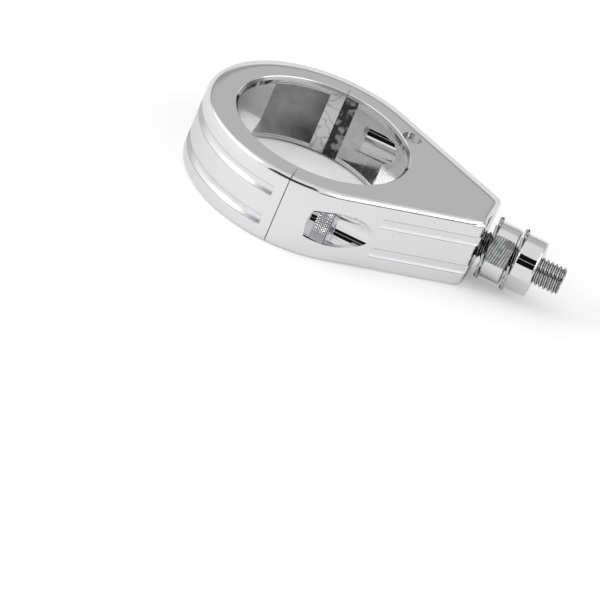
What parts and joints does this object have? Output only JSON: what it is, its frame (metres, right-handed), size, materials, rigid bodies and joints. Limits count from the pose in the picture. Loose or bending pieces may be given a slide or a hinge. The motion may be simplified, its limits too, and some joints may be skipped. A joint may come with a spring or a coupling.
{
  "type": "tube clamp",
  "caption": "Chromed two-piece clamp for a fork tube, its tapered nose carrying a hollow threaded stud with nuts and lock washers for a lamp.",
  "frame": {"origin": "centre of the tube's bore, at half the clamp's height", "axes": "+Z along the tube's bore, +X towards the nose and the stud's free end"},
  "size_m": [0.1095, 0.0682, 0.0208],
  "materials": {
    "chrome_casting": "polished chrome plate, dull in the recess of the rear half",
    "screw_steel": "bright plated with a knurled head",
    "stud_chrome": "plated thread",
    "nut_chrome": "plated, with fine turning marks",
    "washer_steel": "bright zinc plate"
  },
  "bodies": {
    "root": {"front_body": "chrome_casting", "rear_cap": "chrome_casting", "left_screw": "screw_steel", "right_screw": "screw_steel", "left_spring_washer": "washer_steel", "right_spring_washer": "washer_steel", "stud": "stud_chrome", "inner_washer": "washer_steel", "inner_nut": "nut_chrome", "outer_washer": "washer_steel", "outer_nut": "nut_chrome"}
  },
  "joints": []
}
